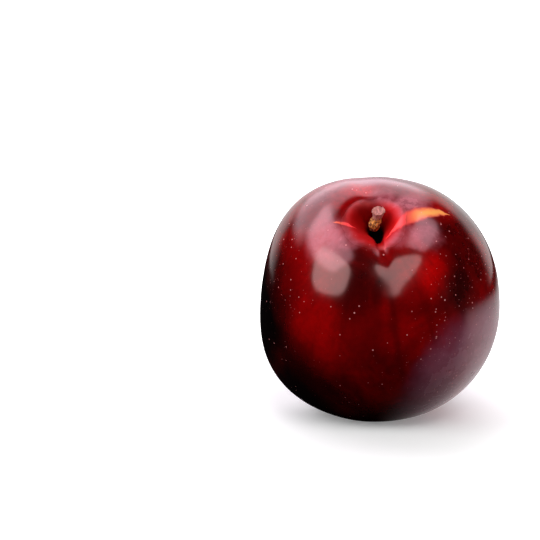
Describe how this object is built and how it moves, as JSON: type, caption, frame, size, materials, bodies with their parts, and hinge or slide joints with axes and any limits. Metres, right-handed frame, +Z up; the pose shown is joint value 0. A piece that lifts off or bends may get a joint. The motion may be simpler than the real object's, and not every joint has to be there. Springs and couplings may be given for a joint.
{
  "type": "plum",
  "caption": "Whole ripe round plum with red-black skin, resting on its underside with the stem cavity and seam toward the front and a torn bit of stalk left in the cavity",
  "frame": {"origin": "middle of the flat spot that the fruit rests on, at table height", "axes": "+Z up, seam and stem cavity toward -Y, cheeks toward +X and -X"},
  "size_m": [0.0624, 0.0643, 0.0623],
  "materials": {
    "skin": "gloss",
    "cork": "matte"
  },
  "bodies": {
    "root": {"fruit": "skin", "stalk_stub": "cork"}
  },
  "joints": []
}
